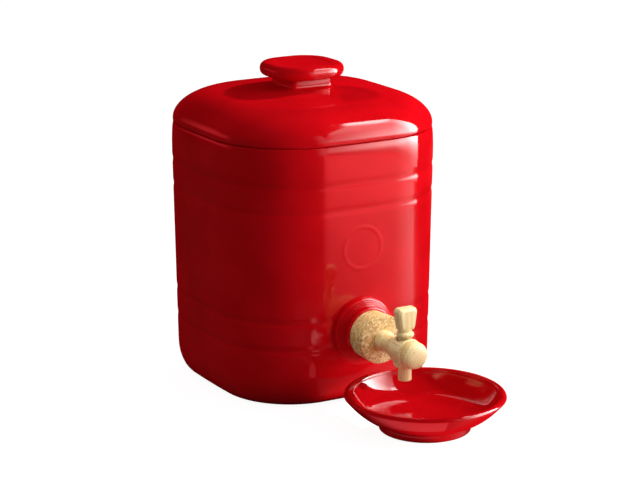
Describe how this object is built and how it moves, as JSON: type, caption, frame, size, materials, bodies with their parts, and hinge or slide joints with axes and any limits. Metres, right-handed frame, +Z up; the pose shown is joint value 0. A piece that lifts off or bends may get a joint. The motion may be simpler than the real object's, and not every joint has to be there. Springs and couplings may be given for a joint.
{
  "type": "vinegar crock",
  "caption": "Squared glazed ceramic crock with a domed knobbed lid, a turned wooden tap held in a cork bung low on the front, and a round drip saucer under the spout.",
  "frame": {"origin": "on the table, under the middle of the crock's flat base", "axes": "+Z up; the tap looks along -Y; +X is to the right for someone who faces the tap"},
  "size_m": [0.1794, 0.3071, 0.241],
  "materials": {
    "red_glaze": "glossy red glaze",
    "cork": "pressed cork grain, matt",
    "boxwood": "turned pale wood, sanded"
  },
  "bodies": {
    "crock": {"crock_body": "red_glaze"},
    "lid": {"lid": "red_glaze"},
    "tap": {"cork_bung": "cork", "tap_body": "boxwood", "key_sleeve": "cork"},
    "key": {"tap_key": "boxwood"},
    "saucer": {"drip_saucer": "red_glaze"}
  },
  "joints": [
    {"name": "lid_lift", "type": "slide", "parent": "crock", "child": "lid", "axis": [0, 0, 1], "range_m": [0, 0.12]},
    {"name": "tap_pull", "type": "slide", "parent": "crock", "child": "tap", "axis": [0, -1, 0], "range_m": [0, 0.1]},
    {"name": "key_turn", "type": "hinge", "parent": "tap", "child": "key", "pos_m": [0, -0.14685, 0.0554], "axis": [0, 0, 1], "continuous": true},
    {"name": "saucer_slide", "type": "slide", "parent": "crock", "child": "saucer", "axis": [0, -1, 0], "range_m": [0, 0.1]}
  ]
}
